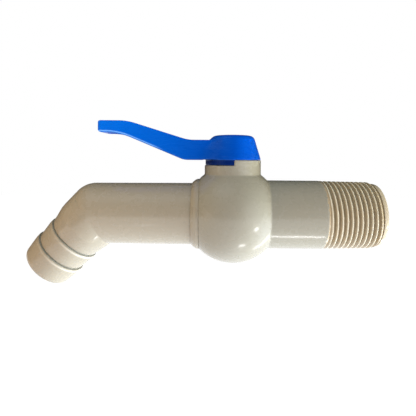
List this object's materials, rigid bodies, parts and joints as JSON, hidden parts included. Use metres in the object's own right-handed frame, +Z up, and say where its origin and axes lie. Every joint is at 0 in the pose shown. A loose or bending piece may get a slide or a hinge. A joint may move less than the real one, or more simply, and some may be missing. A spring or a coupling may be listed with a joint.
{
  "type": "hose tap ball valve",
  "caption": "Quarter-turn plastic ball valve with a lever handle, a male taper pipe thread at the inlet and a bent, barbed hose spout.",
  "frame": {"origin": "centre of the inlet end face, on the pipe axis", "axes": "+X out of the inlet along the pipe axis, +Z up along the stem towards the lever, +Y to the side away from the reference view"},
  "size_m": [0.137, 0.0378, 0.0639],
  "materials": {
    "body_pvc": "semi-gloss moulded grey-beige PVC",
    "spout_pvc": "semi-gloss moulded grey-beige PVC",
    "handle_abs": "semi-gloss moulded blue ABS",
    "ball_plastic": "polished off-white plastic",
    "stem_plastic": "turned off-white plastic",
    "seat_ptfe": "waxy white PTFE",
    "seal_rubber": "matt black nitrile",
    "screw_steel": "plain stainless steel"
  },
  "bodies": {
    "valve": {"valve_body": "body_pvc", "spout": "spout_pvc", "seat_ring_inlet": "seat_ptfe", "seat_ring_outlet": "seat_ptfe", "seat_o_ring_inlet": "seal_rubber", "seat_o_ring_outlet": "seal_rubber", "stem_thrust_washer": "seat_ptfe"},
    "handle": {"handle": "handle_abs", "handle_cap": "handle_abs", "handle_screw": "screw_steel", "screw_washer": "screw_steel", "spring_washer": "screw_steel", "stem": "stem_plastic", "stem_o_ring_lower": "seal_rubber", "stem_o_ring_upper": "seal_rubber"},
    "ball": {"ball": "ball_plastic"}
  },
  "joints": [
    {"name": "handle_turn", "type": "hinge", "parent": "valve", "child": "handle", "pos_m": [-0.0566, 0, 0], "axis": [0, 0, -1], "range_deg": [0, 90]},
    {"name": "ball_turn", "type": "hinge", "parent": "valve", "child": "ball", "pos_m": [-0.0566, 0, 0], "axis": [0, 0, -1], "range_deg": [0, 90]}
  ],
  "couplings": [
    {"joint": "ball_turn", "follows": "handle_turn", "ratio": 1}
  ]
}
